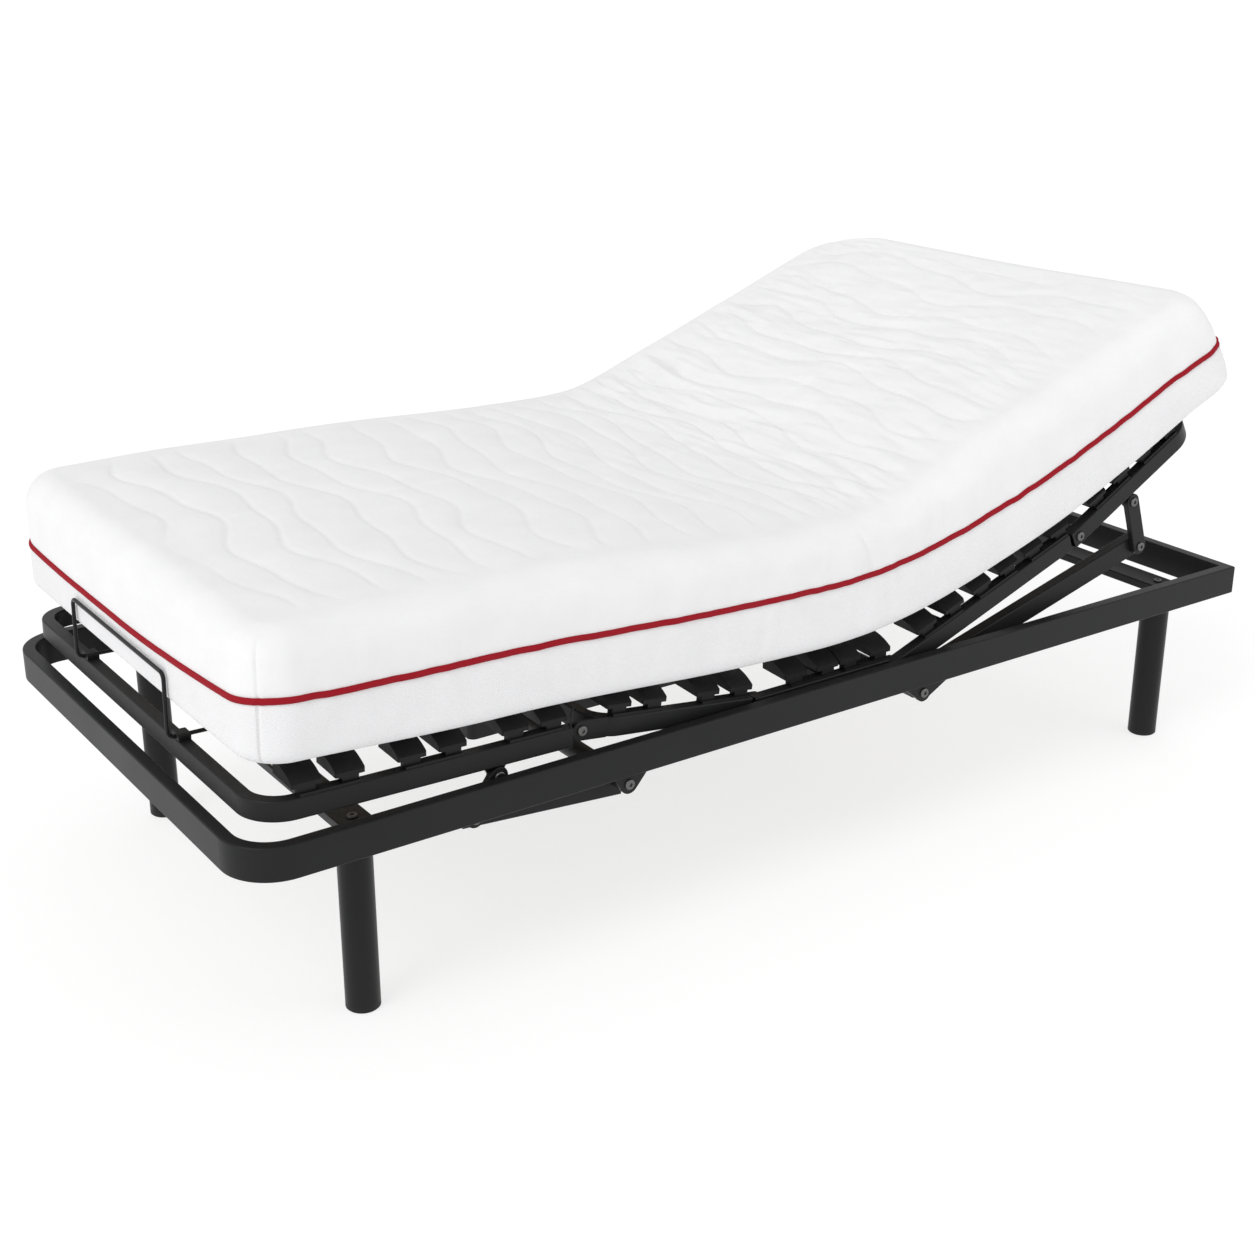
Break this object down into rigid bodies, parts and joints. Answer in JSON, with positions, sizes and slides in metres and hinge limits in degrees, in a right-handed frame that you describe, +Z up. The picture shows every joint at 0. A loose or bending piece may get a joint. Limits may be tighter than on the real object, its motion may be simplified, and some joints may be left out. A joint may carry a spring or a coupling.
{
  "type": "adjustable bed base",
  "caption": "Slatted adjustable bed base on round legs with lifting back, neck, thigh and leg sections, a hidden lift drive and a quilted mattress.",
  "frame": {"origin": "on the floor under the middle of the main frame", "axes": "+X towards the head end, +Y towards the sleeper's right, +Z up"},
  "size_m": [1.9, 0.9, 0.8304],
  "materials": {
    "frame_steel": "satin",
    "leg_steel": "satin",
    "zinc_bolts": "satin",
    "bright_steel": "satin",
    "retainer_wire": "satin",
    "slat_holder_rubber": "satin",
    "beech_slats": "satin",
    "black_plastic": "matte",
    "drive_plastic": "matte",
    "mattress_fabric": "matte"
  },
  "bodies": {
    "base": {"side_rails": "frame_steel", "foot_rail": "frame_steel", "head_rail": "frame_steel", "crossbars": "frame_steel", "legs": "leg_steel", "leg_glides": "black_plastic", "pivot_brackets": "frame_steel", "frame_bolts": "zinc_bolts", "seat_tubes": "frame_steel", "seat_cross_members": "frame_steel", "drive_tray": "drive_plastic", "drive_lid": "drive_plastic", "drive_motors": "bright_steel", "slat_holders_seat": "slat_holder_rubber", "slats_seat": "beech_slats", "mattress_seat": "mattress_fabric", "mattress_folds_seat": "mattress_fabric"},
    "back_section": {"back_tubes": "frame_steel", "back_cross_members": "frame_steel", "back_hinge_bolts": "zinc_bolts", "slat_holders_back": "slat_holder_rubber", "slats_back": "beech_slats", "mattress_back": "mattress_fabric", "mattress_fold_neck": "mattress_fabric"},
    "neck_section": {"neck_side_tubes": "frame_steel", "neck_end_tube": "frame_steel", "neck_lugs": "frame_steel", "neck_bolts": "zinc_bolts", "slat_holders_neck": "slat_holder_rubber", "slats_neck": "beech_slats", "mattress_neck": "mattress_fabric"},
    "head_lift": {"head_torque_tube": "frame_steel", "head_lift_bars": "frame_steel"},
    "neck_links": {"neck_links": "frame_steel", "neck_link_end_bolts": "zinc_bolts"},
    "thigh_section": {"thigh_side_tubes": "frame_steel", "thigh_end_tube": "frame_steel", "thigh_ears": "frame_steel", "knee_hinge_bolts": "zinc_bolts", "slat_holders_thigh": "slat_holder_rubber", "slats_thigh": "beech_slats", "mattress_thigh": "mattress_fabric", "mattress_fold_knee": "mattress_fabric"},
    "leg_section": {"leg_side_tubes": "frame_steel", "leg_end_tube": "frame_steel", "leg_plates": "frame_steel", "leg_link_bolts": "zinc_bolts", "retainer_wires": "retainer_wire", "retainer_clips": "black_plastic", "slat_holders_leg": "slat_holder_rubber", "slats_leg": "beech_slats", "mattress_leg": "mattress_fabric"},
    "foot_lift": {"foot_torque_tube": "frame_steel", "foot_lift_bars": "frame_steel"},
    "foot_links": {"foot_links": "frame_steel", "foot_link_end_bolts": "zinc_bolts"},
    "head_thrust_block": {"head_thrust_block": "black_plastic"},
    "foot_thrust_block": {"foot_thrust_block": "black_plastic"},
    "head_spindle": {"head_spindle": "bright_steel"},
    "foot_spindle": {"foot_spindle": "bright_steel"}
  },
  "joints": [
    {"name": "back_lift", "type": "hinge", "parent": "base", "child": "back_section", "pos_m": [0.173, 0, 0.311], "axis": [0, -1, 0], "range_deg": [-20, 40], "deforming": ["mattress_folds_seat"]},
    {"name": "neck_tilt", "type": "hinge", "parent": "back_section", "child": "neck_section", "pos_m": [0.56579, 0, 0.45396], "axis": [0, -1, 0], "range_deg": [-9.2, 18.3], "deforming": ["mattress_fold_neck"]},
    {"name": "head_bar_swing", "type": "hinge", "parent": "base", "child": "head_lift", "pos_m": [0.209, 0, 0.268], "axis": [0, -1, 0], "range_deg": [-22.92, 45.74]},
    {"name": "neck_link_swing", "type": "hinge", "parent": "neck_section", "child": "neck_links", "pos_m": [0.69315, 0, 0.48937], "axis": [0, -1, 0], "range_deg": [-40.38, 20.24]},
    {"name": "thigh_lift", "type": "hinge", "parent": "base", "child": "thigh_section", "pos_m": [-0.1, 0, 0.316], "axis": [0, 1, 0], "range_deg": [-7.3, 22.7]},
    {"name": "knee_bend", "type": "hinge", "parent": "thigh_section", "child": "leg_section", "pos_m": [-0.42197, 0, 0.35724], "axis": [0, 1, 0], "range_deg": [-18.45, 6], "deforming": ["mattress_fold_knee"]},
    {"name": "foot_bar_swing", "type": "hinge", "parent": "base", "child": "foot_lift", "pos_m": [-0.359, 0, 0.267], "axis": [0, 1, 0], "range_deg": [-10.87, 33.58]},
    {"name": "foot_link_swing", "type": "hinge", "parent": "leg_section", "child": "foot_links", "pos_m": [-0.5584, 0, 0.32507], "axis": [0, 1, 0], "range_deg": [-3.5, 1.2]},
    {"name": "head_thrust_travel", "type": "slide", "parent": "base", "child": "head_thrust_block", "axis": [1, 0, 0], "range_m": [-0.01621, 0.03192]},
    {"name": "foot_thrust_travel", "type": "slide", "parent": "base", "child": "foot_thrust_block", "axis": [-1, 0, 0], "range_m": [-0.00818, 0.02439]},
    {"name": "head_spindle_turn", "type": "hinge", "parent": "base", "child": "head_spindle", "pos_m": [0.173, 0, 0.226], "axis": [1, 0, 0], "range_deg": [-472.24, 943.48]},
    {"name": "foot_spindle_turn", "type": "hinge", "parent": "base", "child": "foot_spindle", "pos_m": [-0.3, 0, 0.226], "axis": [1, 0, 0], "range_deg": [-231.48, 717.71]}
  ],
  "couplings": [
    {"joint": "neck_tilt", "follows": "back_lift", "ratio": 0.455},
    {"joint": "head_bar_swing", "follows": "back_lift", "ratio": 1.141},
    {"joint": "neck_link_swing", "follows": "back_lift", "ratio": -1.007},
    {"joint": "head_thrust_travel", "follows": "back_lift", "m_per_rad": 0.045},
    {"joint": "head_spindle_turn", "follows": "back_lift", "ratio": 23.562},
    {"joint": "knee_bend", "follows": "thigh_lift", "ratio": -0.80822},
    {"joint": "foot_bar_swing", "follows": "thigh_lift", "ratio": 1.475},
    {"joint": "foot_link_swing", "follows": "thigh_lift", "ratio": -0.15},
    {"joint": "foot_thrust_travel", "follows": "thigh_lift", "m_per_rad": 0.0603},
    {"joint": "foot_spindle_turn", "follows": "thigh_lift", "ratio": 31.573}
  ]
}
